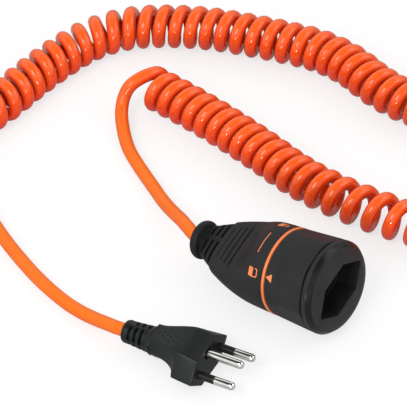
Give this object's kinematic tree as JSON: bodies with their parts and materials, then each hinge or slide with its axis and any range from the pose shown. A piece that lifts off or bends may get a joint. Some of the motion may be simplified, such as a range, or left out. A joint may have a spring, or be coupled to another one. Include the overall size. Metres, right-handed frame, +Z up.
{
  "type": "extension cord",
  "caption": "Coiled extension cord with a three-pin plug and an in-line coupling whose collar turns to lock the plug in.",
  "frame": {"origin": "under the middle of the coupling, on the plane that the coupling, the plug and the cord lie on", "axes": "+X along the coupling in plan, towards its open front end, which is raised 6.4 degrees; +Z up; the plug lies on the -Y side and the coil on the +Y side"},
  "size_m": [0.3038, 0.2216, 0.047],
  "materials": {
    "strain_relief": "satin",
    "grip": "satin",
    "accent_ring": "satin",
    "collar": "satin",
    "lock_disc": "brushed",
    "spring_steel": "plain",
    "insert": "satin",
    "contact_block": "plain",
    "contact_brass": "plain",
    "ferrule": "plain",
    "core_brown": "plain",
    "core_blue": "plain",
    "core_green": "green with a yellow stripe",
    "plug_black": "satin",
    "boot_black": "satin",
    "bridge": "plain",
    "pin_nickel": "polished nickel",
    "sleeve_black": "satin",
    "sheath_orange": "satin",
    "coil_orange": "glossy"
  },
  "bodies": {
    "housing": {"strain_relief": "strain_relief", "rear_grip": "grip", "accent_ring": "accent_ring", "detent_spring": "spring_steel", "front_insert": "insert", "contact_block": "contact_block", "contact_live": "contact_brass", "contact_neutral": "contact_brass", "contact_earth": "contact_brass", "jacket_ferrule": "ferrule", "core_live": "core_brown", "core_neutral": "core_blue", "core_earth": "core_green", "plug_body": "plug_black", "plug_boot": "boot_black", "pin_bridge": "bridge", "pin_live": "pin_nickel", "pin_neutral": "pin_nickel", "pin_earth": "pin_nickel", "sleeve_live": "sleeve_black", "sleeve_neutral": "sleeve_black", "plug_core_live": "core_brown", "plug_core_neutral": "core_blue", "plug_core_earth": "core_green", "lead_coupling": "sheath_orange", "coiled_cord": "coil_orange", "lead_plug": "sheath_orange"},
    "lock": {"lock_collar": "collar", "lock_disc": "lock_disc"}
  },
  "joints": [
    {"name": "lock_turn", "type": "hinge", "parent": "housing", "child": "lock", "pos_m": [0.02234, 0, 0.02283], "axis": [-0.9938, 0, -0.1115], "range_deg": [0, 83]}
  ]
}
